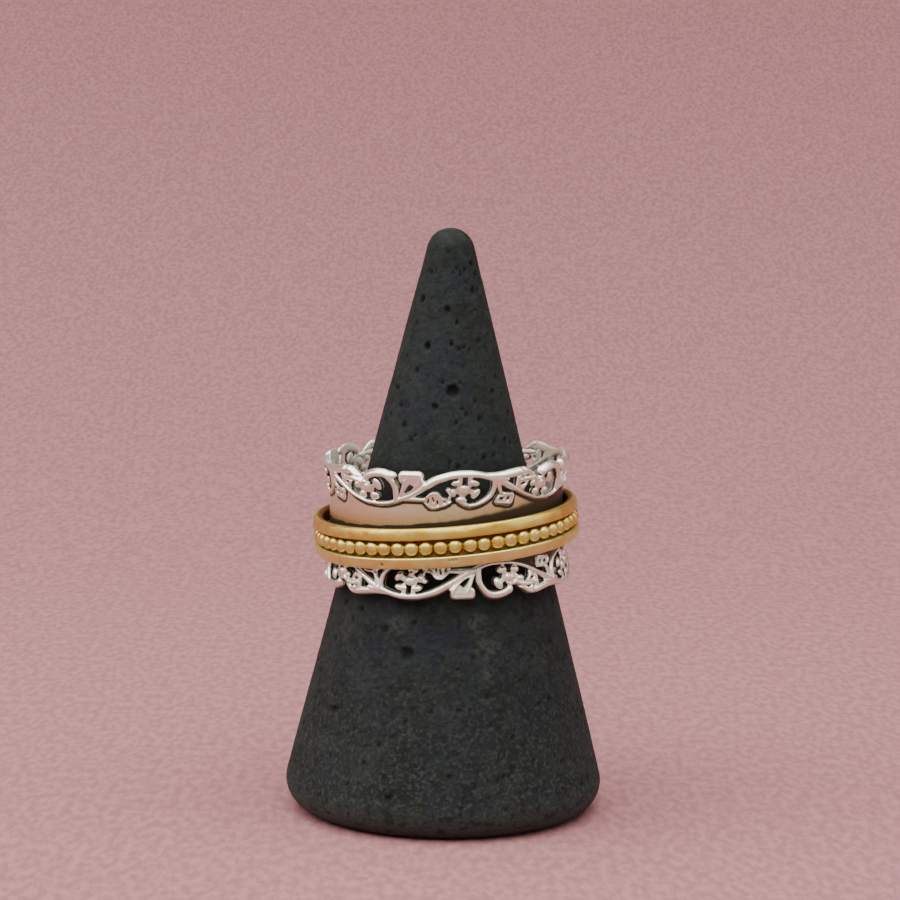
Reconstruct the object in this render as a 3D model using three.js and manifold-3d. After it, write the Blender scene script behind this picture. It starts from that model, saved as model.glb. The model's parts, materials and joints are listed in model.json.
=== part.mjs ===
// Spinner ring on a plain ring cone, as a three.js scene graph.
// Millimetres, +Z up. The origin is the centre of the cone's underside and the front faces -Y.
// Three solids: the stone display cone, the silver band (sleeve and its two pierced borders are one
// casting) and the loose gold spinner that turns round the sleeve between the borders.
import * as THREE from 'three';
import { mergeVertices } from 'three/addons/utils/BufferGeometryUtils.js';
import Module from 'manifold-3d';

const wasm = await Module();
wasm.setup();
const rad = THREE.MathUtils.degToRad;

// ---------------------------------------------------------------- display cone
const CONE_HEIGHT = 47.6;
const CONE_FOOT_RADIUS = 13.66; // where the straight side would meet the floor
const CONE_HALF_ANGLE = rad(14.3);
const CONE_FOOT_ROUNDING = 2.4;
const CONE_TIP_ROUNDING = 1.35;
const CONE_SEGMENTS = 48;
const CONE_ARC_STEPS = 4;

// ---------------------------------------------------------------- silver band
const RING_OFFSET = -0.05; // along X and Y, because the tilted ring hangs on the cone a little off centre
const RING_CENTRE_HEIGHT = 24.2; // above the cone's underside
const RING_TILT_RIGHT = rad(1.3); // right side up
const RING_TILT_FRONT = rad(1.4); // front side down
const BORE_RADIUS = 9.17;
const SLEEVE_RADIUS = 9.5;
const BORDER_RADIUS_INNER = 9.63; // beside the sleeve
const BORDER_RADIUS_OUTER = 10.1; // the borders flare towards the ring's edges
const BORDER_INNER_EDGE = 2.4; // mean height above the ring's mid plane
const BORDER_OUTER_EDGE = 4.9;
const BORDER_FOOT_SLOPE = 0.1; // height of the step down to the sleeve
const EDGE_ROUNDING = 0.2;
const BAND_SEGMENTS = 96;

// The scroll border repeats four times round the ring. The lower border is the upper one turned upside
// down. UPPER_PHASE and LOWER_PHASE are where the pattern starts, in degrees from the ring's front.
const PATTERN_PERIOD = 90;
const UPPER_PHASE = 8.5;
const LOWER_PHASE = -17;

// Wavy outlines of the border over one repeat: pattern angle in degrees, height above the mid plane.
const OUTER_EDGE = [
  { angle: -45, height: 5.1 },
  { angle: -39, height: 5.1 },
  { angle: -34, height: 4.85 },
  { angle: -31, height: 4.35 },
  { angle: -29, height: 5.0 },
  { angle: -20, height: 5.05 },
  { angle: -17.5, height: 4.35 },
  { angle: -11, height: 4.8 },
  { angle: 0, height: 5.12 },
  { angle: 12, height: 4.85 },
  { angle: 20, height: 4.87 },
  { angle: 29, height: 5.08 },
  { angle: 33, height: 4.95 },
  { angle: 37, height: 4.5 },
  { angle: 40, height: 4.4 },
  { angle: 43, height: 4.95 },
  { angle: 45, height: 5.1 },
];
const INNER_EDGE = [
  { angle: -45, height: 2.12 },
  { angle: -36, height: 2.25 },
  { angle: -28, height: 2.6 },
  { angle: -20, height: 2.62 },
  { angle: -15, height: 2.08 },
  { angle: -7, height: 2.4 },
  { angle: 3, height: 2.15 },
  { angle: 10, height: 2.4 },
  { angle: 14.5, height: 2.8 },
  { angle: 16, height: 2.3 },
  { angle: 24, height: 2.15 },
  { angle: 26, height: 2.95 },
  { angle: 35, height: 2.5 },
  { angle: 45, height: 2.12 },
];

// Openings pierced through the border in one repeat, each an outline of [pattern angle, height].
const OPENINGS = {
  trough_flower_bay: [
    [-42.5, 4.5], [-38.5, 4.45], [-35.2, 4.1], [-34, 3.4], [-34.9, 2.85],
    [-37.5, 2.62], [-41, 2.6], [-40, 3.1], [-39.6, 3.9],
  ],
  leaf_stem_slot: [[-27.3, 3.35], [-25.8, 3.95], [-24.3, 4.05], [-22.8, 3.75], [-24.5, 3.5]],
  rising_stem_bay: [
    [-22.5, 3.15], [-18, 3.2], [-15, 3.55], [-12, 3.5], [-10.5, 3.2],
    [-8.5, 3.2], [-7.2, 3.9], [-8, 4.3], [-13, 3.95], [-18, 3.5],
  ],
  crest_flower_bay: [
    [4.5, 2.62], [8, 2.68], [11, 3], [12.5, 3.5], [12.3, 4],
    [10.5, 4.35], [7.5, 4.4], [8.3, 3.9], [8, 3.3], [6.3, 2.95],
  ],
  fan_leaf_slot: [[22, 4.35], [24.8, 4.4], [25.6, 4], [25.2, 3.8], [23.5, 4]],
  falling_stem_bay: [
    [29.5, 3.75], [32.5, 3.85], [34.2, 3.7], [36, 3.35], [35.8, 3], [33, 3.1], [30, 3.35],
  ],
};
const CUTTER_INSIDE = 8.6; // the cutters start inside the bore and end outside the border
const CUTTER_OUTSIDE = 10.8;

// ---------------------------------------------------------------- gold spinner
const SPINNER_CENTRE_HEIGHT = 23.5; // above the cone's underside
const SPINNER_TILT_RIGHT = rad(5.1); // right side up
const SPINNER_TILT_FRONT = rad(1.7); // front side down
const SPINNER_BORE_RADIUS = 10;
const SPINNER_RADIUS = 10.85;
const SPINNER_HALF_WIDTH = 1.6;
const BORE_ROUNDING_RADIAL = 0.3; // large and long, so the spinner can tilt on the sleeve
const BORE_ROUNDING_AXIAL = 0.5;
const RAIL_ROUNDING = 0.3;
const GROOVE_HALF_WIDTH = 0.66;
const GROOVE_FLOOR_RADIUS = 10.33;
const BEAD_COUNT = 57;
const BEAD_PHASE = rad(-2.9); // from the ring's front to the nearest bead
const BEAD_RADIUS = 0.52;
const BEAD_ROW_RADIUS = 10.27; // centres of the beads
const SPINNER_SEGMENTS = BEAD_COUNT;
const BEAD_SEGMENTS = 6;
const BEAD_RINGS = 4;

// ---------------------------------------------------------------- materials
const material = (name, color, roughness, metalness) =>
  new THREE.MeshStandardMaterial({ name, color, roughness, metalness });
const STONE = material('charcoal stone', 0x2f3331, 0.85, 0);
const SILVER = material('polished silver', 0xd2c8c0, 0.22, 1);
const GOLD = material('yellow gold', 0xd9a24e, 0.28, 1);

// ---------------------------------------------------------------- helpers
// Points on an arc in the (radius, height) plane, both ends included.
function arc(centreRadius, centreHeight, radius, from, to, steps) {
  return Array.from({ length: steps + 1 }, (_, i) => {
    const angle = from + ((to - from) * i) / steps;
    return [centreRadius + radius * Math.cos(angle), centreHeight + radius * Math.sin(angle)];
  });
}

// Only position is kept, so that shared vertices merge and the mesh is closed.
function closed(geometry) {
  geometry.deleteAttribute('normal');
  geometry.deleteAttribute('uv');
  return mergeVertices(geometry, 1e-4);
}

// Profile of [radius, height] turned round Z, starting at the front (-Y) and going towards +X.
function turned(profile, segments) {
  const points = profile.map(([radius, height]) => new THREE.Vector2(radius, height));
  return closed(new THREE.LatheGeometry(points, segments).rotateX(Math.PI / 2));
}

function toSolid(geometry) {
  return new wasm.Manifold(
    new wasm.Mesh({
      numProp: 3,
      vertProperties: new Float32Array(geometry.attributes.position.array),
      triVerts: new Uint32Array(geometry.index.array),
    }),
  );
}

function toGeometry(solid) {
  const { vertProperties, triVerts } = solid.getMesh();
  const geometry = new THREE.BufferGeometry();
  geometry.setAttribute('position', new THREE.BufferAttribute(vertProperties, 3));
  geometry.setIndex(new THREE.BufferAttribute(triVerts, 1));
  return geometry;
}

function namedMesh(name, geometry, meshMaterial) {
  geometry.computeVertexNormals();
  const mesh = new THREE.Mesh(geometry, meshMaterial);
  mesh.name = name;
  return mesh;
}

// Height of a wavy outline at a pattern angle between -45 and 45 degrees.
function outlineHeight(outline, angle) {
  const next = outline.findIndex((point) => point.angle >= angle);
  const after = outline[Math.max(next, 1)];
  const before = outline[Math.max(next, 1) - 1];
  const along = (angle - before.angle) / (after.angle - before.angle);
  return THREE.MathUtils.lerp(before.height, after.height, along);
}

// ---------------------------------------------------------------- display cone
function displayConeGeometry() {
  const slope = Math.tan(CONE_HALF_ANGLE);
  // centre of a rounding that touches the straight side, at a given height
  const centreRadius = (height, rounding) =>
    CONE_FOOT_RADIUS - slope * height - rounding / Math.cos(CONE_HALF_ANGLE);
  const footHeight = CONE_FOOT_ROUNDING;
  const tipHeight = CONE_HEIGHT - CONE_TIP_ROUNDING;
  const foot = centreRadius(footHeight, CONE_FOOT_ROUNDING);
  const tip = centreRadius(tipHeight, CONE_TIP_ROUNDING);
  const down = -Math.PI / 2;
  const up = Math.PI / 2;
  return turned(
    [
      [0, 0],
      ...arc(foot, footHeight, CONE_FOOT_ROUNDING, down, CONE_HALF_ANGLE, CONE_ARC_STEPS),
      ...arc(tip, tipHeight, CONE_TIP_ROUNDING, CONE_HALF_ANGLE, up, CONE_ARC_STEPS),
      [0, CONE_HEIGHT],
    ],
    CONE_SEGMENTS,
  );
}

// ---------------------------------------------------------------- silver band
// Pattern angle, within one repeat, of a place at a given angle from the ring's front.
function patternAngle(ringAngle, isUpper) {
  const angle = isUpper ? ringAngle - UPPER_PHASE : LOWER_PHASE - ringAngle;
  return THREE.MathUtils.euclideanModulo(angle + PATTERN_PERIOD / 2, PATTERN_PERIOD) - PATTERN_PERIOD / 2;
}

// Cross-section of the upper half of the band, from the mid plane to the bore at the ring's edge.
function upperBandProfile() {
  const edge = BORDER_OUTER_EDGE;
  return [
    [SLEEVE_RADIUS, BORDER_INNER_EDGE - BORDER_FOOT_SLOPE],
    [BORDER_RADIUS_INNER, BORDER_INNER_EDGE],
    [BORDER_RADIUS_OUTER, edge - EDGE_ROUNDING],
    [BORDER_RADIUS_OUTER - EDGE_ROUNDING, edge],
    [BORE_RADIUS, edge],
  ];
}

// The turned band, its border outlines then pulled to their wavy heights.
function plainBandGeometry() {
  const upper = upperBandProfile();
  const lower = upper.map(([radius, height]) => [radius, -height]).reverse();
  const geometry = turned([...lower, ...upper, lower[0]], BAND_SEGMENTS);
  const middle = (BORDER_INNER_EDGE + BORDER_OUTER_EDGE) / 2;
  const position = geometry.attributes.position;
  for (let i = 0; i < position.count; i += 1) {
    const height = position.getZ(i);
    const ringAngle = THREE.MathUtils.radToDeg(Math.atan2(position.getX(i), -position.getY(i)));
    const angle = patternAngle(ringAngle, height > 0);
    const isOuter = Math.abs(height) > middle;
    const mean = isOuter ? BORDER_OUTER_EDGE : BORDER_INNER_EDGE;
    const wave = outlineHeight(isOuter ? OUTER_EDGE : INNER_EDGE, angle) - mean;
    position.setZ(i, height + Math.sign(height) * wave);
  }
  return geometry;
}

// A cutter for one pierced opening: its outline extruded and wrapped radially round the ring's axis.
function openingCutter(outline, repeat, isUpper) {
  const shape = new THREE.Shape(outline.map(([angle, height]) => new THREE.Vector2(angle, height)));
  const depth = CUTTER_OUTSIDE - CUTTER_INSIDE;
  const geometry = closed(new THREE.ExtrudeGeometry(shape, { depth, bevelEnabled: false }));
  const position = geometry.attributes.position;
  const side = isUpper ? 1 : -1;
  const phase = isUpper ? UPPER_PHASE : LOWER_PHASE;
  for (let i = 0; i < position.count; i += 1) {
    const ringAngle = rad(phase + side * (position.getX(i) + repeat * PATTERN_PERIOD));
    const height = side * position.getY(i);
    const radius = CUTTER_INSIDE + position.getZ(i);
    position.setXYZ(i, radius * Math.sin(ringAngle), -radius * Math.cos(ringAngle), height);
  }
  return toSolid(geometry);
}

function silverBandGeometry() {
  let band = toSolid(plainBandGeometry());
  for (const isUpper of [true, false]) {
    for (let repeat = 0; repeat < 360 / PATTERN_PERIOD; repeat += 1) {
      for (const outline of Object.values(OPENINGS)) {
        band = band.subtract(openingCutter(outline, repeat, isUpper));
      }
    }
  }
  return toGeometry(band);
}

// ---------------------------------------------------------------- gold spinner
function spinnerBandProfile() {
  const boreRise = SPINNER_HALF_WIDTH - BORE_ROUNDING_AXIAL;
  const railRise = SPINNER_HALF_WIDTH - RAIL_ROUNDING;
  const upper = [
    [GROOVE_FLOOR_RADIUS, GROOVE_HALF_WIDTH],
    [SPINNER_RADIUS - RAIL_ROUNDING / 2, GROOVE_HALF_WIDTH + RAIL_ROUNDING / 2],
    [SPINNER_RADIUS, GROOVE_HALF_WIDTH + RAIL_ROUNDING],
    [SPINNER_RADIUS, railRise],
    [SPINNER_RADIUS - RAIL_ROUNDING, SPINNER_HALF_WIDTH],
    [SPINNER_BORE_RADIUS + BORE_ROUNDING_RADIAL, SPINNER_HALF_WIDTH],
    [SPINNER_BORE_RADIUS, boreRise],
  ];
  const lower = upper.map(([radius, height]) => [radius, -height]).reverse();
  return [...lower, ...upper, lower[0]];
}

function goldSpinnerGeometry() {
  let spinner = toSolid(turned(spinnerBandProfile(), SPINNER_SEGMENTS));
  for (let i = 0; i < BEAD_COUNT; i += 1) {
    const angle = BEAD_PHASE + (2 * Math.PI * i) / BEAD_COUNT;
    const bead = closed(new THREE.SphereGeometry(BEAD_RADIUS, BEAD_SEGMENTS, BEAD_RINGS))
      .rotateX(Math.PI / 2)
      .rotateZ(angle)
      .translate(BEAD_ROW_RADIUS * Math.sin(angle), -BEAD_ROW_RADIUS * Math.cos(angle), 0);
    spinner = spinner.add(toSolid(bead));
  }
  return toGeometry(spinner);
}

// ---------------------------------------------------------------- scene graph
const spinnerRing = new THREE.Group();
spinnerRing.add(namedMesh('display_cone', displayConeGeometry(), STONE));

const bandSeat = new THREE.Group();
bandSeat.position.set(RING_OFFSET, RING_OFFSET, RING_CENTRE_HEIGHT);
bandSeat.rotation.set(RING_TILT_FRONT, -RING_TILT_RIGHT, 0);
bandSeat.add(namedMesh('silver_band', silverBandGeometry(), SILVER));
spinnerRing.add(bandSeat);

const spinnerSeat = new THREE.Group();
spinnerSeat.position.set(RING_OFFSET, RING_OFFSET, SPINNER_CENTRE_HEIGHT);
spinnerSeat.rotation.set(SPINNER_TILT_FRONT, -SPINNER_TILT_RIGHT, 0);
spinnerSeat.add(namedMesh('gold_spinner', goldSpinnerGeometry(), GOLD));
spinnerRing.add(spinnerSeat);

export default spinnerRing;
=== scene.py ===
"""Looks of the spinner ring on its plain ring cone.

A silver band with two pierced floral-scroll borders, a loose gold spinner with a row of beads, and the
charcoal stone cone that holds them. Shapes are worked out in millimetres, in the frame of the piece they
belong to, and become metres in new_piece().
"""
import json
import math

import bmesh
import bpy
import numpy as np
from mathutils import Matrix, Vector


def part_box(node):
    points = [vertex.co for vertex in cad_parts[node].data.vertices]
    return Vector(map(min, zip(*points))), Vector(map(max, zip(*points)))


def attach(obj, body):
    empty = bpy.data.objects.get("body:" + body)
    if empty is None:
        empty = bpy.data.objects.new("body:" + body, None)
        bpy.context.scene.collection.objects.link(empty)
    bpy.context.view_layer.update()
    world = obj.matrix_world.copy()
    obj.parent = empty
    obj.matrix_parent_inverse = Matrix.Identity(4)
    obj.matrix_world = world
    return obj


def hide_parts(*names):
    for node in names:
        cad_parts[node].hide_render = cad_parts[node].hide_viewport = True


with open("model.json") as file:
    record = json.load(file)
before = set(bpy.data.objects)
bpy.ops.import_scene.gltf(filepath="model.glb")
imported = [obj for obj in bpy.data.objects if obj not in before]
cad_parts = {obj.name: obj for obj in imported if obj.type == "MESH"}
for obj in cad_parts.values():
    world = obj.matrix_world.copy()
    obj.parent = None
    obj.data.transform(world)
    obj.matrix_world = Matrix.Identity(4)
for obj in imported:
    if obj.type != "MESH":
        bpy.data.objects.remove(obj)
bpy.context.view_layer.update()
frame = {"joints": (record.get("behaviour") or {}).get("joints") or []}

MM = 0.001

# ---------------- sizes and places, from the frame
BAND_LOW, BAND_HIGH = (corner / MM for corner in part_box("silver_band"))
CONE_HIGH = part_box("display_cone")[1] / MM
SPIN = frame["joints"][0]

RING_CENTRE = (BAND_LOW + BAND_HIGH) / 2
RING_LEAN = math.radians(1.4)  # the front sits a little lower
RING_TILT = math.radians(1.3)  # and the right side a little higher
SPIN_AXIS = Vector(SPIN["axis"]).normalized()
SPIN_CENTRE = Vector(SPIN["pos_m"]) / MM

# silver band, millimetres
BORE_RADIUS = 9.17
SLEEVE_RADIUS = 9.5
BORDER_RADIUS_INNER = 9.64  # crests of the relief beside the sleeve
BORDER_RADIUS_OUTER = 10.32  # and at the ring's edge, because the borders flare
EDGE_FALL = 0.27  # how far the crests round off towards the ring's edge
EDGE_FALL_WIDTH = 0.62
BORDER_INNER_HEIGHT = 2.2
BORDER_OUTER_HEIGHT = 5.1
RELIEF_DROP = 0.3  # from a crest to the foot of its side
BACK_FLARE = 0.42  # the borders' inside flares too, so that their edges are thin
BACK_FLARE_START = 2.5
BACK_RELIEF = 0.1  # depth of the grooves inside
SEAM_HEIGHT = 1.9  # where a border's mesh meets the plain sleeve's
BORDER_TOP = 5.3
BORDER_ROWS = 57
COLUMNS_PER_REPEAT = 252
PATTERN_PERIOD = 90.0
REPEATS = 4
UPPER_PHASE = 8.5  # where the pattern starts, in degrees from the ring's front
LOWER_PHASE = -17.0
UNROLL_RADIUS = 9.9  # the pattern is measured on this cylinder
CASTING_UNEVENNESS = 0.012
SLEEVE_COLUMNS = 480
SLEEVE_ROWS = 31
SHADE_WIDTH_LEFT = 0.10  # of the brown shade that the spinner leaves on the sleeve
SHADE_WIDTH_GROWTH = 0.43  # and how much wider it is towards the right
# Tan tint of the sleeve; next to the spinner it turns into a golden painted reflection.
WARMTH_LEFT = 0.46  # of the sleeve, away from the spinner
WARMTH_GROWTH = 0.17

# gold spinner, millimetres
SPINNER_BORE_RADIUS = 10.0
SPINNER_RADIUS = 10.85
SPINNER_HALF_WIDTH = 1.6
RAIL_FALL = 0.12  # the rails round off towards the spinner's edges, like a barrel
GROOVE_HALF_WIDTH = 0.69
GROOVE_FLOOR_RADIUS = 10.33
GROOVE_ROUNDING = 0.12
RAIL_ROUNDING = 0.2
BORE_ROUNDING = 0.3
COLUMNS_PER_BEAD = 10  # of the rails' mesh
BEAD_COUNT = 57
BEAD_PHASE = -2.3  # degrees from the front to the nearest bead
BEAD_HALF_SIZE = (0.60, 0.58, 0.60)  # along the row, outwards and up
BEAD_SQUARENESS = 2.3  # 2 is an ellipsoid, more is boxier
BEAD_ROW_RADIUS = 10.27

# display cone, millimetres
CONE_HALF_ANGLE = math.radians(14.3)
CONE_FLOOR_RADIUS = 13.66  # where the straight side would meet the floor
CONE_FOOT_ROUNDING = 2.4
CONE_TIP_ROUNDING = 1.9
CONE_COLUMNS = 320
CONE_ROW_STEP = 0.19
PIT_RAGGEDNESS = 0.16


# ---------------- small helpers
def smooth_step(low, high, value):
    """0 below low, 1 above high, and a smooth rise between them."""
    t = np.clip((value - low) / (high - low), 0, 1)
    return t * t * (3 - 2 * t)


def ripple(points, wavelength, seed, waves=12):
    """Smooth random waviness, mostly between -1 and 1, the same on each run."""
    draw = np.random.default_rng(seed)
    total = np.zeros(len(points))
    for _ in range(waves):
        direction = draw.normal(size=3)
        direction /= np.linalg.norm(direction)
        pitch = wavelength * draw.uniform(0.7, 1.5)
        total += np.sin(points @ direction * (2 * np.pi / pitch) + draw.uniform(0, 2 * np.pi))
    return total / math.sqrt(waves)


def around(radius, angle, height):
    """Points at an angle in degrees from the front (-Y), growing towards +X."""
    turn = np.radians(angle)
    return np.stack([radius * np.sin(turn), -radius * np.cos(turn), height], axis=-1)


def arc(centre, radius, start, end, steps):
    """Points (radius, height) on an arc in a cross-section, both ends included, angles in degrees."""
    turn = np.radians(np.linspace(start, end, steps + 1))
    return np.stack([centre[0] + radius * np.cos(turn), centre[1] + radius * np.sin(turn)], axis=-1)


def turned(profile, columns):
    """Vertices of a profile of (radius, height) turned round the axis, a row for each of its points."""
    angle = np.arange(columns) * 360 / columns
    return np.vstack([around(np.full(columns, r), angle, np.full(columns, h)) for r, h in profile])


def wrapped_quads(rows, columns, closes):
    """Faces of a rows by columns grid of vertices that goes round; closes joins the last row to the first."""
    row = np.arange(rows if closes else rows - 1)[:, None]
    column = np.arange(columns)[None, :]
    above = (row + 1) % rows
    beside = (column + 1) % columns
    corners = [
        row * columns + column,
        row * columns + beside,
        above * columns + beside,
        above * columns + column,
    ]
    return np.stack(corners, axis=-1).reshape(-1, 4).tolist()


def seat_matrix(centre, axis):
    """Frame of a ring whose axis is given, turned so that its own Y axis has no X part."""
    across = axis.cross(Vector((1, 0, 0))).normalized()
    along = across.cross(axis)
    turn = Matrix((along, across, axis)).transposed().to_4x4()
    return Matrix.Translation(centre * MM) @ turn


RING_AXIS = Vector((-math.tan(RING_TILT), -math.tan(RING_LEAN), 1)).normalized()
RING_SEAT = seat_matrix(RING_CENTRE, RING_AXIS)
SPINNER_SEAT = seat_matrix(SPIN_CENTRE, SPIN_AXIS)


def new_piece(name, vertices, faces, material, seat, sharp_angle=50, **attributes):
    """A mesh object from millimetre vertices in a seat's frame, smooth but for edges over sharp_angle."""
    mesh = bpy.data.meshes.new(name)
    mesh.from_pydata((np.asarray(vertices) * MM).tolist(), [], faces)
    mesh.shade_smooth()
    mesh.set_sharp_from_angle(angle=math.radians(sharp_angle))
    for key, values in attributes.items():
        layer = mesh.attributes.new(key, "FLOAT", "POINT")
        layer.data.foreach_set("value", np.asarray(values, np.float32))
    mesh.materials.append(material)
    piece = bpy.data.objects.new(name, mesh)
    bpy.context.scene.collection.objects.link(piece)
    piece.matrix_world = seat
    return piece


def stands_for(piece, body, node):
    """The piece rides on its body and replaces its CAD node."""
    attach(piece, body)
    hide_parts(node)


# ---------------- materials
class Shader:
    """A node material with short ways to add and link its nodes."""

    def __init__(self, name):
        self.material = bpy.data.materials.new(name)
        self.material.use_nodes = True
        self.tree = self.material.node_tree
        self.surface = self.tree.nodes["Principled BSDF"]
        self.place = self.add("TexCoord").outputs["Object"]

    def feed(self, socket, value):
        """Links a socket to another, or sets its value."""
        if isinstance(value, bpy.types.NodeSocket):
            self.tree.links.new(value, socket)
        else:
            socket.default_value = value

    def add(self, kind, inputs=None, **settings):
        """A new node with its settings and inputs."""
        node = self.tree.nodes.new("ShaderNode" + kind)
        for key, value in settings.items():
            setattr(node, key, value)
        for key, value in (inputs or {}).items():
            self.feed(node.inputs[key], value)
        return node

    def attribute(self, name):
        """A number stored on the mesh's vertices."""
        return self.add("Attribute", attribute_name=name).outputs["Fac"]

    def noise(self, per_mm, detail=2.0, stretch=(1, 1, 1)):
        """Noise with so many cells to a millimetre, stretched along the axes."""
        scale = tuple(per_mm / MM / s for s in stretch)
        spread = self.add("Mapping", {"Vector": self.place, "Scale": scale})
        inputs = {"Vector": spread.outputs["Vector"], "Scale": 1.0, "Detail": detail}
        return self.add("TexNoise", inputs).outputs["Fac"]

    def ramp(self, value, low, high, start=0.0, end=1.0):
        """A smooth change from start to end as value goes from low to high."""
        inputs = {"Value": value, 1: low, 2: high, 3: start, 4: end}
        return self.add("MapRange", inputs, interpolation_type="SMOOTHSTEP").outputs["Result"]

    def maths(self, operation, first, second=0.0):
        """A Math node."""
        return self.add("Math", {0: first, 1: second}, operation=operation).outputs["Value"]

    def mix(self, share, first, second):
        """A colour between first, at share 0, and second, at share 1."""
        return self.add("Mix", {0: share, 6: first, 7: second}, data_type="RGBA").outputs[2]

    def blend(self, share, first, second):
        """A number between first, at share 0, and second, at share 1."""
        inputs = {"Value": share, 1: 0.0, 2: 1.0, 3: first, 4: second}
        return self.add("MapRange", inputs).outputs["Result"]

    def bump(self, height, distance_mm, strength=1.0):
        """Fine relief on the shader."""
        inputs = {"Height": height, "Distance": distance_mm * MM, "Strength": strength}
        self.feed(self.surface.inputs["Normal"], self.add("Bump", inputs).outputs["Normal"])

    def finish(self, **inputs):
        """Feeds the surface's sockets, with underscores for the spaces in their names."""
        for key, value in inputs.items():
            self.feed(self.surface.inputs[key.replace("_", " ")], value)
        return self.material


def silver_material():
    """Bright polished silver with black-brown oxide left in its recesses, and painted shade and reflection on
    the sleeve.
    """
    s = Shader("polished_silver")
    patches = s.noise(0.9, 3.0)
    fine = s.noise(7.0, 3.0)
    mottled = s.ramp(fine, 0.3, 0.7, -0.12, 0.12)
    uneven = s.maths("MULTIPLY", mottled, s.blend(s.attribute("tint_and_gold_reflection"), 1.0, 0.1))
    polish = s.ramp(s.maths("ADD", s.attribute("polish"), uneven), 0.12, 0.72)
    clean = s.mix(s.ramp(patches, 0.35, 0.7), (0.92, 0.91, 0.81, 1), (0.87, 0.85, 0.70, 1))
    # painted reflection: the sleeve's tint turns golden beside the spinner
    tint_and_gold_reflection = s.maths("MULTIPLY", s.attribute("tint_and_gold_reflection"), s.ramp(fine, 0.2, 0.7, 0.7, 1.0))
    bright = s.mix(tint_and_gold_reflection, clean, (0.58, 0.47, 0.17, 1))
    # painted shade: the oxide's dark brown also paints the shade that the spinner leaves on the sleeve
    oxide_and_shade = s.mix(s.attribute("tint_and_gold_reflection"), (0.016, 0.009, 0.004, 1), (0.028, 0.016, 0.004, 1))
    colour = s.mix(polish, oxide_and_shade, bright)
    worn = s.ramp(fine, 0.3, 0.7, 0.3, 0.4)
    roughness = s.blend(polish, 0.5, s.blend(s.attribute("satin"), worn, 0.5))
    s.bump(s.maths("ADD", fine, patches), 0.004)
    return s.finish(Base_Color=colour, Metallic=s.blend(polish, 0.2, 1.0), Roughness=roughness)


def gold_material():
    """Softly polished gold: paler low down as painted reflection, browner in its grooves, with fine wear
    along the turn.
    """
    s = Shader("yellow_gold")
    patches = s.noise(0.55, 3.0)
    fine = s.noise(6.0, 3.0, stretch=(2.5, 2.5, 1))
    polish = s.ramp(s.attribute("polish"), 0.0, 1.0)
    height = s.maths("DIVIDE", s.add("SeparateXYZ", {0: s.place}).outputs["Z"], MM)
    # painted reflection: paler on the lower rail and deeper yellow on the upper, over random patches
    tone_and_reflection = s.maths("ADD", s.ramp(patches, 0.3, 0.7, -0.35, 0.35), s.ramp(height, -1.2, 1.2, 0.15, 0.85))
    bright = s.mix(tone_and_reflection, (0.75, 0.72, 0.25, 1), (0.64, 0.45, 0.088, 1))
    colour = s.mix(polish, (0.13, 0.052, 0.006, 1), bright)
    roughness = s.blend(polish, 0.55, s.ramp(fine, 0.3, 0.7, 0.3, 0.46))
    s.bump(s.maths("ADD", fine, s.maths("MULTIPLY", patches, 2.0)), 0.006)
    return s.finish(Base_Color=colour, Metallic=s.blend(polish, 0.6, 1.0), Roughness=roughness)


def stone_material():
    """Charcoal cast stone: dark mottling, pale speckle that thickens towards the foot, black pits, painted
    shade behind the ring.
    """
    s = Shader("charcoal_stone")
    height = s.maths("DIVIDE", s.add("SeparateXYZ", {0: s.place}).outputs["Z"], MM)
    clouds = s.noise(0.16, 4.0)
    tint = s.noise(0.28, 3.0)
    grain = s.noise(2.6, 4.0)
    speck = s.noise(3.2, 3.0)
    spots = s.ramp(s.noise(1.5, 2.0), 0.36, 0.46)
    base = s.mix(s.ramp(clouds, 0.35, 0.65), (0.0031, 0.0052, 0.0046, 1), (0.0082, 0.0124, 0.0108, 1))
    cool = s.mix(s.ramp(tint, 0.42, 0.60), base, (0.0062, 0.0088, 0.0142, 1))
    mottle = s.maths("MULTIPLY", s.ramp(grain, 0.3, 0.65), s.ramp(s.noise(0.8, 2.0), 0.35, 0.65, 0.3, 1.0))
    grey = s.mix(mottle, cool, (0.0155, 0.0212, 0.0188, 1))
    low_down = s.ramp(height, 20.0, 3.0, 0.1, 0.8)
    speckle = s.maths("MULTIPLY", s.ramp(speck, 0.48, 0.68), low_down)
    stained = s.maths("MAXIMUM", speckle, s.maths("MULTIPLY", s.attribute("stain"), s.ramp(grain, 0.3, 0.6)))
    pale = s.mix(stained, grey, (0.032, 0.040, 0.035, 1))
    pale = s.mix(s.ramp(height, 3.5, 0.8, 0.0, 0.6), pale, (0.052, 0.062, 0.055, 1))
    spotted = s.mix(s.blend(spots, 0.55, 0.0), pale, (0.0045, 0.005, 0.0045, 1))
    # dark in the pits, and painted shade where the ring hides the stone
    colour = s.mix(s.attribute("pit_and_ring_shade"), spotted, (0.004, 0.004, 0.003, 1))
    s.bump(s.maths("ADD", s.maths("MULTIPLY", grain, 1.5), speck), 0.05)
    return s.finish(Base_Color=colour, Roughness=s.ramp(grain, 0.3, 0.7, 0.72, 0.92), Specular_IOR_Level=0.2)


SILVER = silver_material()
GOLD = gold_material()
STONE = stone_material()

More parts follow.
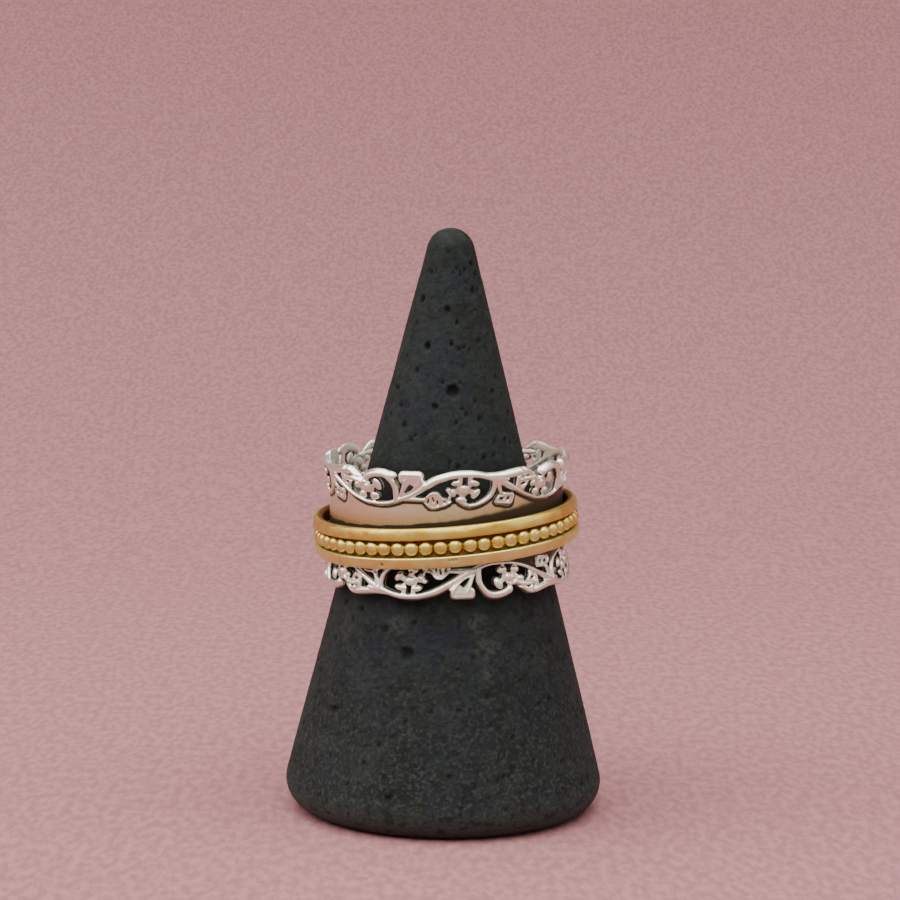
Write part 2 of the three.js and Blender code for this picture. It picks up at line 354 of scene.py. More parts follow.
# ---------------- the scroll border's pattern
# One repeat of the border, 90 degrees of the ring, as stems, petals and leaves on the unrolled band.
# Angles are degrees along the repeat, heights millimetres above the ring's mid plane; the lower border is
# the same pattern turned half round. A row of a stem is (angle, height, half width).
STEMS = {
    "main_stem": [
        (-45, 2.36, 0.17), (-40, 2.36, 0.18), (-36, 2.45, 0.19), (-33, 2.61, 0.21),
        (-30, 2.8, 0.22), (-27, 2.98, 0.22), (-24, 3.22, 0.22), (-20, 3.62, 0.24),
        (-17.5, 3.95, 0.31), (-15, 4.22, 0.35), (-12, 4.46, 0.34), (-9, 4.64, 0.31),
        (-5, 4.82, 0.29), (0, 4.9, 0.28), (5, 4.86, 0.27), (10, 4.68, 0.27), (14, 4.43, 0.28),
        (17, 4.21, 0.28), (20, 3.97, 0.28), (22.5, 3.74, 0.26), (25, 3.51, 0.22),
        (28, 3.24, 0.2), (31, 2.98, 0.19), (35, 2.7, 0.18), (40, 2.45, 0.17), (45, 2.36, 0.17),
    ],
    "outer_rail": [
        (8, 4.76, 0.2), (12, 4.68, 0.24), (16, 4.64, 0.27), (20, 4.65, 0.32), (24, 4.73, 0.34),
        (28, 4.84, 0.31),
    ],
    "rail_junction": [(13, 4.46, 0.24), (17, 4.4, 0.28), (21, 4.3, 0.14)],
    "trough_scroll": [
        (-32.5, 2.74, 0.24), (-32.2, 3.3, 0.27), (-32.4, 3.82, 0.28), (-34.1, 4.34, 0.28),
        (-37, 4.8, 0.33), (-41, 4.86, 0.34), (-44.5, 4.75, 0.35), (-47.3, 4.55, 0.37),
    ],
    "crest_scroll": [
        (14.6, 4.35, 0.28), (14.5, 3.85, 0.23), (14.0, 3.42, 0.21), (12.7, 3.01, 0.21),
        (10.1, 2.66, 0.2), (6.2, 2.39, 0.19), (3, 2.31, 0.19), (1, 2.4, 0.21), (-1.4, 2.66, 0.24),
    ],
    "end_leaf_runner": [
        (30.5, 4.2, 0.16), (34, 4.18, 0.22), (37, 4.09, 0.27), (40, 3.98, 0.28), (43, 3.82, 0.27),
    ],
    "hanging_leaf_stem": [(-30, 2.78, 0.15), (-24, 2.85, 0.2), (-18.5, 2.82, 0.19)],
    "low_leaf_stem": [(16.6, 4.15, 0.2), (16.9, 3.75, 0.2), (17.6, 3.4, 0.19), (18.4, 3.2, 0.17)],
}

# Leaves are thin plates; a raised rim and veins run over them, and slots are engraved in them.
LEAVES = {
    "fan_leaf": [
        (-30.2, 4.75), (-29.9, 5.0), (-29.0, 5.08), (-20.0, 5.08), (-19.3, 4.98), (-19.0, 4.72),
        (-18.8, 4.45), (-17.4, 4.25), (-20.6, 3.7), (-23.5, 3.35), (-28.2, 3.05), (-30.4, 3.12),
        (-29.3, 3.42), (-28.8, 3.72), (-28.5, 4.05), (-29.4, 4.28), (-30.1, 4.48),
    ],
    "hanging_leaf": [
        (-19.3, 2.76), (-17.6, 3.12), (-15.6, 3.43), (-14.0, 3.52), (-12.2, 3.47), (-11.0, 3.26),
        (-10.0, 3.03), (-8.0, 2.98), (-6.3, 2.93), (-5.8, 2.7), (-7.0, 2.42), (-9.0, 2.25),
        (-11.0, 2.18), (-13.0, 2.06), (-14.8, 2.0), (-16.4, 2.12), (-18.0, 2.38), (-19.0, 2.62),
    ],
    "low_leaf": [
        (15.0, 2.5), (15.4, 2.85), (16.6, 3.0), (17.3, 3.3), (19.0, 3.32), (21.5, 3.22),
        (24.0, 3.15), (25.2, 3.2), (25.3, 2.8), (24.6, 2.25), (22.8, 2.08), (19.0, 2.2),
        (15.8, 2.3),
    ],
    "end_leaf": [
        (25.9, 4.75), (27.5, 5.07), (29.5, 5.15), (31.8, 5.12), (33.3, 5.0), (34.8, 4.78),
        (36.8, 4.48), (38.5, 4.33), (36.5, 4.0), (34.0, 3.95), (32.3, 3.8), (31.5, 3.55),
        (31.3, 3.2), (28.0, 3.15), (25.9, 3.35), (25.8, 3.8),
    ],
}
LEAF_VEINS = {
    "fan_leaf_rim": [
        (-19.5, 4.5, 0.16), (-20.2, 4.84, 0.24), (-24.5, 4.85, 0.25), (-28.8, 4.84, 0.24),
        (-29.5, 4.58, 0.17), (-28.9, 4.28, 0.15),
    ],
    "fan_leaf_left": [(-30.0, 3.05, 0.14), (-28.6, 3.65, 0.15), (-27.4, 4.2, 0.15), (-26.4, 4.6, 0.12)],
    "fan_leaf_right": [(-28.5, 3.02, 0.14), (-23.8, 3.58, 0.16), (-20.4, 4.25, 0.18), (-19.6, 4.6, 0.12)],
    "hanging_leaf_rim": [
        (-18.8, 2.78, 0.14), (-17.0, 3.05, 0.14), (-15.2, 3.31, 0.14), (-13.6, 3.38, 0.14),
        (-12.0, 3.29, 0.14), (-10.8, 3.03, 0.13), (-9.4, 2.89, 0.12), (-7.4, 2.83, 0.13),
        (-6.5, 2.7, 0.13), (-7.8, 2.5, 0.13), (-10.0, 2.36, 0.13), (-12.5, 2.24, 0.14),
        (-14.8, 2.17, 0.15), (-17.0, 2.42, 0.15), (-18.8, 2.78, 0.14),
    ],
    "hanging_leaf_bar": [(-11.2, 2.35, 0.15), (-11.1, 3.0, 0.14)],
    "low_leaf_rim": [
        (16.6, 2.88, 0.14), (15.9, 2.52, 0.17), (18.0, 2.42, 0.17), (21.0, 2.36, 0.17),
        (23.6, 2.32, 0.17), (24.5, 2.68, 0.14), (24.4, 3.02, 0.14), (21.5, 3.09, 0.12),
        (18.5, 3.12, 0.13),
    ],
    "end_leaf_left": [(26.6, 4.65, 0.16), (26.7, 4.1, 0.15), (26.9, 3.55, 0.15)],
    "end_leaf_top": [
        (27.2, 4.84, 0.2), (30.0, 4.9, 0.19), (32.5, 4.84, 0.2), (34.8, 4.58, 0.2), (37.0, 4.34, 0.16),
    ],
    "end_leaf_middle": [(27.0, 4.14, 0.11), (30.0, 4.12, 0.12), (33.0, 4.16, 0.13)],
    "end_leaf_bottom": [(27.5, 3.45, 0.15), (30.3, 3.5, 0.15), (31.6, 3.85, 0.14)],
}
# Slots engraved in the leaves: (angle, height, half length, half width, turn in degrees) and how deep.
LEAF_SLOTS = [
    ((-27.2, 4.52, 0.15, 0.11, 30), 0.35), ((-24.3, 4.4, 0.18, 0.11, 85), 0.35),
    ((-21.3, 4.38, 0.16, 0.11, 100), 0.35), ((-16.8, 2.72, 0.26, 0.1, 72), 0.72),
    ((-14.3, 2.86, 0.27, 0.1, 105), 0.72), ((-12.3, 2.62, 0.24, 0.1, 95), 0.72),
    ((-9.2, 2.67, 0.13, 0.11, 90), 0.7), ((18.7, 2.76, 0.27, 0.14, 0), 0.72),
    ((22.1, 2.72, 0.2, 0.16, 60), 0.72), ((29.0, 4.42, 0.16, 0.12, 0), 0.68),
    ((31.9, 4.42, 0.27, 0.14, 5), 0.7), ((29.6, 3.82, 0.27, 0.15, 5), 0.72),
]
# Flowers: a centre, petals round it, each (angle, height, half length, half width, turn in degrees), and
# the low necks that join them to the stems, as rows like a stem's.
FLOWER_CENTRES = [(-47.9, 3.55, 0.48, 0.42, 0), (0, 3.61, 0.47, 0.41, 0)]
TROUGH_PETALS = [
    (-41.6, 3.93, 0.54, 0.37, -58), (-44.0, 2.93, 0.49, 0.31, 8), (-51.0, 2.97, 0.44, 0.31, -12),
    (-53.8, 3.72, 0.33, 0.28, 0),
]
CREST_PETALS = [
    (-3.5, 4.17, 0.44, 0.26, 8), (4.5, 4.15, 0.51, 0.26, -12), (-7.0, 3.62, 0.26, 0.21, 0),
    (-5.4, 3.37, 0.37, 0.28, -50), (5.5, 3.28, 0.5, 0.28, 50),
]
LOWER_ONLY_PETALS = [(-0.3, 3.1, 0.3, 0.2, 90)]
SCROLL_BLOBS = [(-1.2, 2.77, 0.5, 0.29, -8)]
UPPER_ONLY_BLOBS = [(-34.6, 4.74, 0.55, 0.31, -12)]
FLOWER_NECKS = {
    "trough_to_scroll": [(-47.8, 3.7, 0.24), (-47.2, 4.4, 0.24)],
    "trough_to_stem_left": [(-51.3, 2.95, 0.16), (-52.0, 2.55, 0.16)],
    "trough_to_stem_right": [(-44.2, 2.95, 0.18), (-44.8, 2.45, 0.18)],
    "crest_to_leaf": [(-5.8, 3.3, 0.16), (-6.9, 2.85, 0.13)],
    "crest_to_rail_left": [(-1.9, 4.15, 0.23), (-1.7, 4.7, 0.23)],
    "crest_to_rail_right": [(2.6, 4.15, 0.23), (2.8, 4.7, 0.23)],
}
FLOWER_PLATES = {
    "trough": [
        (-55.2, 3.72), (-55.0, 4.05), (-51.0, 4.14), (-48.5, 4.2), (-45.9, 4.12), (-44.9, 3.9),
        (-43.2, 4.12), (-41.5, 4.2), (-41.0, 3.6), (-43.2, 3.52), (-43.8, 3.25), (-42.0, 3.1),
        (-42.5, 2.8), (-45.5, 2.72), (-46.4, 3.0), (-46.9, 3.12), (-48.2, 3.12), (-48.9, 2.75),
        (-52.0, 2.7), (-53.2, 2.95), (-51.6, 3.22), (-52.8, 3.42),
    ],
    "crest": [
        (-6.2, 4.08), (-5.5, 4.34), (-3.2, 4.44), (-0.8, 4.3), (-0.6, 3.98), (1.6, 3.98),
        (2.0, 4.34), (4.6, 4.4), (7.0, 4.22), (6.8, 4.0), (4.6, 3.92), (3.2, 3.76), (5.0, 3.62),
        (7.6, 3.58), (7.3, 3.3), (5.5, 2.86), (3.8, 3.0), (2.4, 3.24), (1.1, 3.12), (0.6, 2.85),
        (-2.0, 2.8), (-2.4, 3.16), (-3.4, 3.26), (-4.6, 3.05), (-6.2, 3.02), (-7.8, 3.4),
        (-8.0, 3.7), (-6.0, 3.8), (-3.9, 3.76), (-3.4, 3.94), (-5.0, 4.0),
    ],
}
# Openings pierced through plates, as outlines of (angle, height).
PIERCINGS = [[(-28.0, 3.32), (-26.4, 3.78), (-24.6, 4.08), (-23.0, 3.86), (-24.8, 3.58)]]
# The sleeve reaches up under the stems to here: rows of (angle, height).
SLEEVE_EDGE = [
    (-45, 2.28), (-40, 2.28), (-36, 2.4), (-33, 2.54), (-30, 2.7), (-25, 2.76), (-20, 2.72),
    (-17, 2.45), (-12, 2.4), (-8, 2.54), (-5, 2.42), (-2, 2.5), (3, 2.33), (9, 2.5), (13, 2.62),
    (16, 2.5), (20, 2.4), (23, 2.6), (25.5, 3.15), (27, 3.2), (30, 2.98), (35, 2.66),
    (40, 2.42), (45, 2.28),
]
MOAT_WIDTH = 0.09  # of the dark line that a shape in front leaves round itself
SIDE_ROUNDNESS = 2.1  # 2 is half round, more is flatter on top
LEAF_EDGE_ROUNDING = 0.16


def smooth_rows(rows, steps=6):
    """A Catmull-Rom curve through rows of numbers."""
    points = np.array(rows, float)
    before = 2 * points[0] - points[1]
    after = 2 * points[-1] - points[-2]
    points = np.vstack([before, points, after])
    t = np.linspace(0, 1, steps, endpoint=False)[:, None]
    spans = [
        0.5 * (2 * b + (c - a) * t + (2 * a - 5 * b + 4 * c - d) * t**2 + (3 * b - a - 3 * c + d) * t**3)
        for a, b, c, d in zip(points, points[1:], points[2:], points[3:])
    ]
    return np.vstack([*spans, points[-2:-1]])


def unroll(angle):
    """Millimetres along the unrolled border."""
    return np.radians(angle) * UNROLL_RADIUS


def bulge(share):
    """Height of a rounded side, from 0 at its foot (share 0) to 1 at its crest (share 1)."""
    return (1 - (1 - np.clip(share, 0, 1)) ** SIDE_ROUNDNESS) ** (1 / SIDE_ROUNDNESS)


class Shape:
    """Where one shape of the pattern is: depth inside its outline, in mm, and its rounded height."""

    def __init__(self, depth, level):
        self.depth = depth
        self.level = level

    def __or__(self, other):
        return Shape(np.maximum(self.depth, other.depth), np.maximum(self.level, other.level))


def stroke(x, y, rows, top=1.0):
    """A stem along a smooth curve whose half width changes."""
    curve = smooth_rows(rows)
    px, py, width = unroll(curve[:, 0]), curve[:, 1], curve[:, 2]
    depth = np.full(x.shape, -np.inf)
    share = np.zeros(x.shape)
    for k in range(len(curve) - 1):
        bx = px[k + 1] - px[k]
        by = py[k + 1] - py[k]
        t = np.clip(((x - px[k]) * bx + (y - py[k]) * by) / (bx * bx + by * by), 0, 1)
        here = width[k] + t * (width[k + 1] - width[k])
        inside = here - np.hypot(x - px[k] - t * bx, y - py[k] - t * by)
        closer = inside > depth
        depth = np.where(closer, inside, depth)
        share = np.where(closer, inside / here, share)
    return Shape(depth, top * bulge(share))


def oval(x, y, row, top=1.0):
    """A petal, blob or slot: (angle, height, half length, half width, turn)."""
    angle, height, half_length, half_width, turn = row
    c = math.cos(math.radians(turn))
    s = math.sin(math.radians(turn))
    u = ((x - unroll(angle)) * c + (y - height) * s) / half_length
    w = ((y - height) * c - (x - unroll(angle)) * s) / half_width
    out = np.hypot(u, w)
    reach = np.hypot(u * half_length, w * half_width) / np.maximum(out, 1e-6)
    reach = np.maximum(reach, half_width)
    return Shape((1 - out) * reach, top * bulge(1 - out))


def plate(x, y, outline, top):
    """A leaf's plate inside a closed outline of (angle, height)."""
    corners = np.array(outline, float)
    px, py = unroll(corners[:, 0]), corners[:, 1]
    distance = np.full(x.shape, np.inf)
    inside = np.zeros(x.shape, bool)
    for k in range(len(px)):
        ax, ay = px[k - 1], py[k - 1]
        bx, by = px[k] - ax, py[k] - ay
        t = np.clip(((x - ax) * bx + (y - ay) * by) / (bx * bx + by * by), 0, 1)
        distance = np.minimum(distance, np.hypot(x - ax - t * bx, y - ay - t * by))
        crosses = (ay > y) != (py[k] > y)
        inside ^= crosses & (x < ax + (y - ay) * bx / (by if by else 1e-9))
    depth = np.where(inside, distance, -distance)
    return Shape(depth, top * bulge(depth / LEAF_EDGE_ROUNDING))


def union(shapes):
    """Shapes of one casting, run into each other."""
    total = shapes[0]
    for shape in shapes[1:]:
        total = total | shape
    return total


def in_front(behind, front, groove):
    """Front laid over behind, with a groove of this depth cut round it."""
    outside = np.clip(-front.depth / MOAT_WIDTH, 0, 1)
    cut = np.where(front.depth > -MOAT_WIDTH, 1 - groove * (1 - outside), 1)
    level = np.maximum(np.minimum(behind.level, cut), front.level)
    return Shape(np.maximum(behind.depth, front.depth), level)


def repeated(build, x, y, rows, **options):
    """A shape and its copies one repeat before and after."""
    period = unroll(PATTERN_PERIOD)
    return union([build(x + shift, y, rows, **options) for shift in (-period, 0, period)])


def scroll_pattern(x, y, is_upper):
    """The whole border as one shape, on the unrolled band."""
    leaves = union([repeated(plate, x, y, outline, top=0.7) for outline in LEAVES.values()])
    veins = union([repeated(stroke, x, y, rows, top=0.93) for rows in LEAF_VEINS.values()])
    leaves = leaves | veins
    for slot, groove in LEAF_SLOTS:
        cut = repeated(oval, x, y, slot)
        leaves.level = np.minimum(leaves.level, 1 - groove * smooth_step(-0.04, 0.06, cut.depth))
    rounded = SCROLL_BLOBS + (UPPER_ONLY_BLOBS if is_upper else [])
    blobs = union([repeated(oval, x, y, row) for row in rounded])
    stems = union([repeated(stroke, x, y, rows) for rows in STEMS.values()]) | blobs
    necks = union([repeated(stroke, x, y, rows, top=0.58) for rows in FLOWER_NECKS.values()])
    necks = necks | union([repeated(plate, x, y, rows, top=0.45) for rows in FLOWER_PLATES.values()])
    petals = TROUGH_PETALS + CREST_PETALS + ([] if is_upper else LOWER_ONLY_PETALS)
    petals = union([repeated(oval, x, y, row, top=0.95) for row in petals])
    centres = union([repeated(oval, x, y, row) for row in FLOWER_CENTRES])
    border = in_front(leaves, stems | necks, groove=0.6)
    border = in_front(border, petals, groove=0.5)
    border = in_front(border, centres, groove=0.6)
    for piercing in PIERCINGS:
        hole = repeated(plate, x, y, piercing, top=1)
        border.depth = np.minimum(border.depth, -hole.depth)
    return border


# ---------------- silver band
def contour_faces(inside, node, across, upward):
    """Faces of the inside part of a grid that goes round, cut along its outline, and the outline's edges.

    node, across and upward number the grid's vertices, and those where the outline crosses between a
    node and its neighbour in the next column and in the next row.
    """
    following = {name: np.roll(ids, -1, axis=1) for name, ids in (("node", node), ("upward", upward))}
    corner_in = np.stack(
        [inside[:-1], np.roll(inside, -1, 1)[:-1], np.roll(inside, -1, 1)[1:], inside[1:]], axis=-1
    )
    corner_id = np.stack([node[:-1], following["node"][:-1], following["node"][1:], node[1:]], axis=-1)
    cross_id = np.stack([across[:-1], following["upward"][:-1], across[1:], upward[:-1]], axis=-1)
    code = corner_in @ np.array([1, 2, 4, 8])
    faces, outline = [], []
    for case in range(1, 16):
        chosen = code == case
        if not chosen.any():
            continue
        corners, crossings = corner_id[chosen], cross_id[chosen]
        walk, leaves, enters = [], [], []
        for k in range(4):
            here = bool(case >> k & 1)
            after = bool(case >> (k + 1) % 4 & 1)
            if here:
                walk.append(corners[:, k])
            if here != after:
                walk.append(crossings[:, k])
                (leaves if here else enters).append(k)
        faces += np.stack(walk, axis=-1).tolist()
        for k in leaves:
            back_in = min(enters, key=lambda m: (m - k) % 4)
            outline += np.stack([crossings[:, k], crossings[:, back_in]], axis=-1).tolist()
    return faces, outline


def crest_radius(height, edge_height):
    """Radius of the relief's crests, which flare outwards and round off at the ring's edge."""
    along = (height - BORDER_INNER_HEIGHT) / (BORDER_OUTER_HEIGHT - BORDER_INNER_HEIGHT)
    flared = BORDER_RADIUS_INNER + (BORDER_RADIUS_OUTER - BORDER_RADIUS_INNER) * along
    near_edge = 1 - np.clip((edge_height - height) / EDGE_FALL_WIDTH, 0, 1)
    return flared - EDGE_FALL * near_edge**2


def outer_edge(depth, height):
    """Height of the casting's outer edge in each column of the grid, a little smoothed along it."""
    highest = np.where(depth > 0, height, SEAM_HEIGHT).max(axis=0)
    window = np.hanning(9)
    padded = np.concatenate([highest[-4:], highest, highest[:4]])
    return np.convolve(padded, window / window.sum(), "valid")


def border_surface(pattern_angle, height, is_upper):
    """Fields over the border, where plain is 1 on the bare sleeve."""
    x, y = unroll(pattern_angle), height
    scroll = scroll_pattern(x, y, is_upper)
    sleeve_depth = np.interp(pattern_angle, *zip(*SLEEVE_EDGE)) - height
    depth = np.maximum(scroll.depth, sleeve_depth)
    edge = outer_edge(depth, height)
    level = np.where(scroll.depth > 0, scroll.level, 0)
    radius = crest_radius(height, edge) - RELIEF_DROP * (1 - level)
    radius = np.where(sleeve_depth > 0, np.maximum(radius, SLEEVE_RADIUS), radius)
    on_relief = smooth_step(0.2, 0.64, scroll.level)
    beside = smooth_step(0.10, 0.34, -scroll.depth) * (sleeve_depth > 0)
    polish = np.where(scroll.depth > 0, on_relief, beside)
    plain = (scroll.depth <= 0).astype(float)
    return {
        "depth": depth,
        "edge": np.broadcast_to(edge, depth.shape),
        "radius": radius,
        "level": np.maximum(level, plain),
        "polish": polish,
        "plain": plain,
    }


def numbered(chosen, first):
    """Numbers the chosen vertices of a grid from first on, and the others -1."""
    return np.where(chosen, np.cumsum(chosen).reshape(chosen.shape) - 1 + first, -1)


def outline_crossings(inside, depth, open_above, axis):
    """Where the outline crosses between neighbours: chosen pairs, share of the way, on the outer rim."""
    next_inside, next_depth, next_open = (np.roll(field, -1, axis) for field in (inside, depth, open_above))
    cuts = inside != next_inside
    if axis == 0:
        cuts[-1] = False
    share = np.clip(depth / np.where(cuts, depth - next_depth, 1), 0.1, 0.9)
    return cuts, share, open_above | next_open


def border_grid(is_upper):
    """The border's fields on a grid that goes once round the ring."""
    angles = (np.arange(COLUMNS_PER_REPEAT) / COLUMNS_PER_REPEAT - 0.5) * PATTERN_PERIOD
    heights = np.linspace(SEAM_HEIGHT, BORDER_TOP, BORDER_ROWS + 1)
    angle, height = np.meshgrid(angles, heights)
    fields = border_surface(angle, height, is_upper)
    grid = {name: np.tile(field, (1, REPEATS)) for name, field in fields.items()}
    column = np.arange(COLUMNS_PER_REPEAT * REPEATS)[None, :]
    turn = column / COLUMNS_PER_REPEAT * PATTERN_PERIOD - PATTERN_PERIOD / 2
    grid["angle"] = np.broadcast_to(turn, grid["depth"].shape)
    grid["height"] = np.tile(height, (1, REPEATS))
    return grid


def border_face(is_upper):
    """The border's outer face: its vertices' fields, its faces, its outline's edges and its seam.

    The vertices inside the casting come first, then those where the outline crosses the grid.
    """
    grid = border_grid(is_upper)
    angle, height, edge = grid["angle"], grid["height"], grid["edge"]
    inside = grid["depth"] > 0
    open_above = np.cumprod(~inside[::-1], axis=0)[::-1].astype(bool)
    beside, beside_share, beside_rim = outline_crossings(inside, grid["depth"], open_above, axis=1)
    above, above_share, above_rim = outline_crossings(inside, grid["depth"], open_above, axis=0)
    column_step = PATTERN_PERIOD / COLUMNS_PER_REPEAT
    row_step = height[1, 0] - height[0, 0]
    cut_angle = np.concatenate([angle[beside] + beside_share[beside] * column_step, angle[above]])
    cut_height = np.concatenate([height[beside], height[above] + above_share[above] * row_step])
    cut_edge = np.concatenate([edge[beside], edge[above]])
    cut_radius = crest_radius(cut_height, cut_edge) - RELIEF_DROP
    none = np.zeros(len(cut_angle))
    count = inside.sum()
    face = {
        "angle": np.concatenate([angle[inside], cut_angle]),
        "height": np.concatenate([height[inside], cut_height]),
        "radius": np.concatenate([grid["radius"][inside], cut_radius]),
        "polish": np.concatenate([grid["polish"][inside], beside_rim[beside], above_rim[above]]),
        "level": np.concatenate([grid["level"][inside], none]),
        "plain": np.concatenate([grid["plain"][inside], none]),
        "on_outline": np.repeat([False, True], [count, len(cut_angle)]),
    }
    node = numbered(inside, 0)
    across = numbered(beside, count)
    upward = numbered(above, count + beside.sum())
    faces, outline = contour_faces(inside, node, across, upward)
    return face, faces, outline, node[0]


def border_back(face):
    """Radius and polish of the border's inside, which flares and faintly follows the relief."""
    flare = np.clip((face["height"] - BACK_FLARE_START) / (BORDER_OUTER_HEIGHT - BACK_FLARE_START), 0, 1)
    radius = BORE_RADIUS + BACK_FLARE * flare
    radius += BACK_RELIEF * (1 - face["level"])
    polish = np.maximum(np.where(face["on_outline"], 0.6, face["polish"]), 0.3)
    return radius, polish


def border_piece(name, is_upper):
    """One pierced border with its strip of sleeve, as a closed mesh over a fine unrolled grid."""
    face, faces, outline, seam = border_face(is_upper)
    back_radius, back_polish = border_back(face)
    total = len(face["angle"])
    backs = [[i + total for i in reversed(corners)] for corners in faces]
    walls = [(b, a, a + total, b + total) for a, b in outline]
    next_on = np.roll(seam, -1)
    seam_wall = np.stack([next_on, seam, seam + total, next_on + total], axis=-1).tolist()
    angle = UPPER_PHASE + face["angle"] if is_upper else LOWER_PHASE - face["angle"]
    height = face["height"] if is_upper else -face["height"]
    vertices = np.vstack([around(radius, angle, height) for radius in (face["radius"], back_radius)])
    unevenness = CASTING_UNEVENNESS * ripple(vertices, 2.2, seed=31) * np.repeat([1, 0], total)
    vertices[:, :2] *= (1 + unevenness / BORDER_RADIUS_OUTER)[:, None]
    # painted shade and painted golden reflection of the spinner on the bare sleeve between the relief
    shade, tint_and_gold_reflection = sleeve_tones(vertices)
    on_plain = np.concatenate([face["plain"], np.zeros(total)])
    polish = np.concatenate([face["polish"], back_polish]) * np.where(on_plain > 0, shade, 1)
    tones = {"polish": polish, "tint_and_gold_reflection": tint_and_gold_reflection * on_plain, "satin": np.repeat([0, 1], total)}
    piece = new_piece(name, vertices, faces + backs + walls + seam_wall, SILVER, RING_SEAT, **tones)
    stands_for(piece, "root", "silver_band")


def sleeve_tones(points):
    """Painted brown shade by the spinner on the plain sleeve, and a tan tint with its painted golden
    reflection.
    """
    to_ring = RING_SEAT.inverted()
    axis = np.array(to_ring.to_3x3() @ SPIN_AXIS)
    centre = np.array(to_ring @ (SPIN_CENTRE * MM)) / MM
    clear = np.abs((points - centre) @ axis) - SPINNER_HALF_WIDTH + 0.04 * ripple(points, 1.2, seed=21)
    angle = np.arctan2(points[:, 0], -points[:, 1])
    # painted shade: brown beside the spinner, widest at the right
    shaded_width = SHADE_WIDTH_LEFT + SHADE_WIDTH_GROWTH * (1 + np.sin(angle - math.radians(5))) ** 2
    # a tan tint away from the spinner, and a golden painted reflection close to it
    far_warmth = WARMTH_LEFT + WARMTH_GROWTH * (1 + np.sin(angle - math.radians(10)))
    tint_and_gold_reflection = 1 - (1 - far_warmth) * smooth_step(0.2, 1.5, clear)
    return smooth_step(0.2, 1.3, clear / shaded_width), tint_and_gold_reflection


def sleeve_piece():
    """The plain middle of the band, on which the spinner turns."""
    heights = np.linspace(-SEAM_HEIGHT, SEAM_HEIGHT, SLEEVE_ROWS)
    profile = [(SLEEVE_RADIUS, h) for h in heights] + [(BORE_RADIUS, h) for h in heights[::-1]]
    vertices = turned(profile, SLEEVE_COLUMNS)
    quads = wrapped_quads(len(profile), SLEEVE_COLUMNS, closes=True)
    inner = np.repeat([0, 1], SLEEVE_ROWS * SLEEVE_COLUMNS)
    # painted shade by the spinner, and its painted golden reflection
    shade, tint_and_gold_reflection = sleeve_tones(vertices)
    tones = {"polish": np.where(inner, 1, shade), "tint_and_gold_reflection": tint_and_gold_reflection * (1 - inner), "satin": inner}
    piece = new_piece("sleeve", vertices, quads, SILVER, RING_SEAT, **tones)
    stands_for(piece, "root", "silver_band")


# ---------------- gold spinner
def rail_profile():
    """Closed cross-section of the spinner: two rounded rails with the bead groove between them."""
    wide = SPINNER_HALF_WIDTH
    groove_top = GROOVE_HALF_WIDTH + GROOVE_ROUNDING
    edge_radius = SPINNER_RADIUS - RAIL_FALL - RAIL_ROUNDING
    across = np.linspace(0.1, 0.9, 8)
    crown_height = groove_top + across * (wide - RAIL_ROUNDING - GROOVE_HALF_WIDTH - GROOVE_ROUNDING)
    crown = np.stack([SPINNER_RADIUS - RAIL_FALL * across**2 * 0.8, crown_height], axis=-1)
    top = np.vstack(
        [
            [(GROOVE_FLOOR_RADIUS, 0.0), (GROOVE_FLOOR_RADIUS, GROOVE_HALF_WIDTH - 0.08)],
            [(GROOVE_FLOOR_RADIUS + 0.06, GROOVE_HALF_WIDTH)],
            arc((SPINNER_RADIUS - GROOVE_ROUNDING, groove_top), GROOVE_ROUNDING, -90, 0, 5),
            crown,
            arc((edge_radius, wide - RAIL_ROUNDING), RAIL_ROUNDING, 15, 90, 6),
            [(SPINNER_BORE_RADIUS + 0.35, wide)],
            arc((SPINNER_BORE_RADIUS + BORE_ROUNDING, wide - BORE_ROUNDING), BORE_ROUNDING, 90, 180, 5),
            [(SPINNER_BORE_RADIUS, wide / 2)],
        ]
    )
    bottom = top[1:][::-1] * (1, -1)
    return np.vstack([top, [(SPINNER_BORE_RADIUS, 0.0)], bottom])


def dent(points, angle, height, radius, depth, size):
    """Presses a small hollow into points near a place, and returns how strongly it marks each of them."""
    centre = around(radius, angle, height)
    near = np.exp(-((np.linalg.norm(points - centre, axis=1) / size) ** 2))
    points[:, :2] *= (1 - depth * near / radius)[:, None]
    return near * min(1, depth / 0.1)


# Marks of wear on the rails: (angle, height, depth, size).
RAIL_MARKS = [
    (-28.6, -1.22, 0.2, 0.19), (1.2, -1.02, 0.09, 0.12), (2.6, -1.0, 0.1, 0.12), (4.0, -0.98, 0.09, 0.12),
    (22, 1.25, 0.03, 0.3), (-36, 1.1, 0.03, 0.35), (48, -1.1, 0.03, 0.3), (-52, -1.2, 0.04, 0.3),
    (-8, -1.5, 0.05, 0.3), (14, -1.5, 0.04, 0.35), (-20, 1.45, 0.04, 0.35), (9, 1.5, 0.04, 0.3),
    (110, 1.1, 0.06, 0.2), (150, -1.05, 0.07, 0.16), (200, 1.0, 0.05, 0.3), (255, -1.1, 0.06, 0.2),
]


